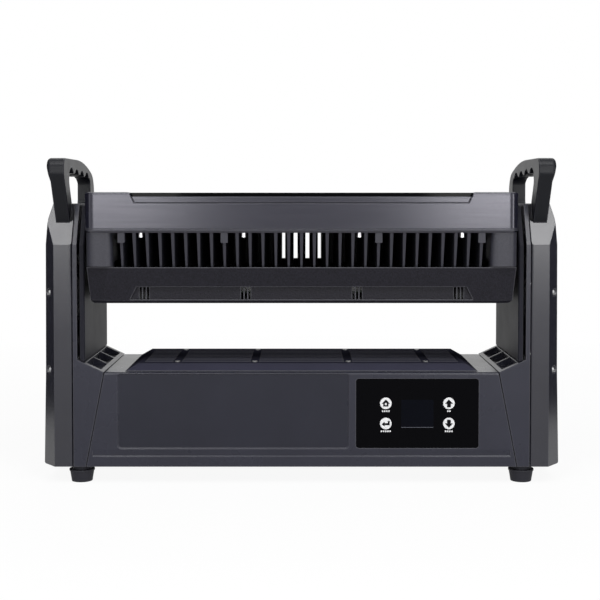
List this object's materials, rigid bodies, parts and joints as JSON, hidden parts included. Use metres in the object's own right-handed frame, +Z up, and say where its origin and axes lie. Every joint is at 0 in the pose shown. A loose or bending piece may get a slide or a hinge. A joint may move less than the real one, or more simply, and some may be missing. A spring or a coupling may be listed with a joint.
{
  "type": "tilting strobe panel stage light",
  "caption": "Stage light with a wide tilting strobe and wash head, finned back and rear cover, hung in a motorised U-yoke with carrying handles on a base with a control panel.",
  "frame": {"origin": "on the floor under the middle of the light, between its four feet", "axes": "+X to the right as seen from the control panel, +Y away from the viewer, +Z up; the head is stored level with its light face up"},
  "size_m": [0.5358, 0.206, 0.3342],
  "materials": {
    "moulded_black": "fine moulded texture, satin",
    "power_in_socket": "moulded blue",
    "power_out_socket": "moulded grey",
    "arm_cover": "fine moulded texture, satin",
    "arm_panel": "satin",
    "handle": "satin, slightly warm on its sides",
    "vent": "matte louvred",
    "rubber": "matte",
    "tray_steel": "black powder coat",
    "screw_steel": "bright zinc",
    "trunnion": "black oxide",
    "panel_glass": "polished black",
    "key_white": "white with a black symbol",
    "board": "solder mask",
    "display": "dark screen",
    "supply": "cased supply",
    "motor": "laminated steel",
    "pulley": "turned",
    "bush": "sintered bronze",
    "fan": "moulded",
    "bezel": "die casting, painted satin and grained along its length",
    "lens": "clear",
    "optic": "clear moulded optic",
    "reflector": "polished",
    "emitter": "phosphor",
    "heat_sink": "black anodised die casting",
    "head_end": "die casting, painted satin black",
    "rear_cover": "fine-grained matte"
  },
  "bodies": {
    "base": {"base_cover": "moulded_black", "yoke_shell_left": "moulded_black", "yoke_shell_right": "moulded_black", "fuse_holder": "moulded_black", "data_input": "moulded_black", "data_output": "moulded_black", "power_inlet": "power_in_socket", "power_outlet": "power_out_socket", "yoke_cover_left": "arm_cover", "yoke_cover_right": "arm_cover", "arm_panel_left": "arm_panel", "arm_panel_right": "arm_panel", "handle_left": "handle", "handle_right": "handle", "base_vent": "vent", "rubber_feet": "rubber", "tilt_belt": "rubber", "base_tray": "tray_steel", "upright_left": "tray_steel", "upright_right": "tray_steel", "safety_eye": "tray_steel", "bracket_sockets": "tray_steel", "vent_screws": "screw_steel", "yoke_screws": "screw_steel", "control_panel": "panel_glass", "control_board": "board", "main_board": "board", "tilt_sensor": "board", "display_module": "display", "power_supply": "supply", "tilt_motor": "motor", "pivot_bush_left": "bush", "pivot_bush_right": "bush", "base_fan": "fan"},
    "head": {"head_bezel": "bezel", "front_lens": "lens", "lens_gasket": "rubber", "led_board": "board", "color_optics": "optic", "strobe_reflector": "reflector", "strobe_emitters": "emitter", "heat_sink": "heat_sink", "head_end_left": "head_end", "head_end_right": "head_end", "rear_cover": "rear_cover", "head_fans": "fan", "led_drivers": "board", "head_screws": "screw_steel", "trunnion_left": "trunnion", "trunnion_right": "trunnion", "tilt_pulley": "pulley"},
    "motor_drive": {"motor_pulley": "screw_steel"},
    "home_button": {"home_key": "key_white"},
    "enter_button": {"enter_key": "key_white"},
    "up_button": {"up_key": "key_white"},
    "down_button": {"down_key": "key_white"},
    "base_rotor": {"base_fan_rotor": "fan"},
    "head_fan_left_rotor": {"head_fan_rotor_left": "fan"},
    "head_fan_middle_rotor": {"head_fan_rotor_middle": "fan"},
    "head_fan_right_rotor": {"head_fan_rotor_right": "fan"}
  },
  "joints": [
    {"name": "head_tilt", "type": "hinge", "parent": "base", "child": "head", "pos_m": [0, 0, 0.24349], "axis": [1, 0, 0], "range_deg": [-105, 105]},
    {"name": "motor_spin", "type": "hinge", "parent": "base", "child": "motor_drive", "pos_m": [-0.2357, 0, 0.0654], "axis": [1, 0, 0], "range_deg": [-400, 400]},
    {"name": "home_press", "type": "slide", "parent": "base", "child": "home_button", "axis": [0, 1, 0], "range_m": [0, 0.0008], "stiffness_N_per_m": 1500},
    {"name": "enter_press", "type": "slide", "parent": "base", "child": "enter_button", "axis": [0, 1, 0], "range_m": [0, 0.0008], "stiffness_N_per_m": 1500},
    {"name": "up_press", "type": "slide", "parent": "base", "child": "up_button", "axis": [0, 1, 0], "range_m": [0, 0.0008], "stiffness_N_per_m": 1500},
    {"name": "down_press", "type": "slide", "parent": "base", "child": "down_button", "axis": [0, 1, 0], "range_m": [0, 0.0008], "stiffness_N_per_m": 1500},
    {"name": "base_fan_spin", "type": "hinge", "parent": "base", "child": "base_rotor", "pos_m": [0.072, 0, 0.0494], "axis": [1, 0, 0], "continuous": true},
    {"name": "head_fan_left_spin", "type": "hinge", "parent": "head", "child": "head_fan_left_rotor", "pos_m": [-0.122, 0, 0.18979], "axis": [0, 0, 1], "continuous": true},
    {"name": "head_fan_middle_spin", "type": "hinge", "parent": "head", "child": "head_fan_middle_rotor", "pos_m": [0, 0, 0.18979], "axis": [0, 0, 1], "continuous": true},
    {"name": "head_fan_right_spin", "type": "hinge", "parent": "head", "child": "head_fan_right_rotor", "pos_m": [0.122, 0, 0.18979], "axis": [0, 0, 1], "continuous": true}
  ],
  "couplings": [
    {"joint": "motor_spin", "follows": "head_tilt", "ratio": 3.75}
  ]
}
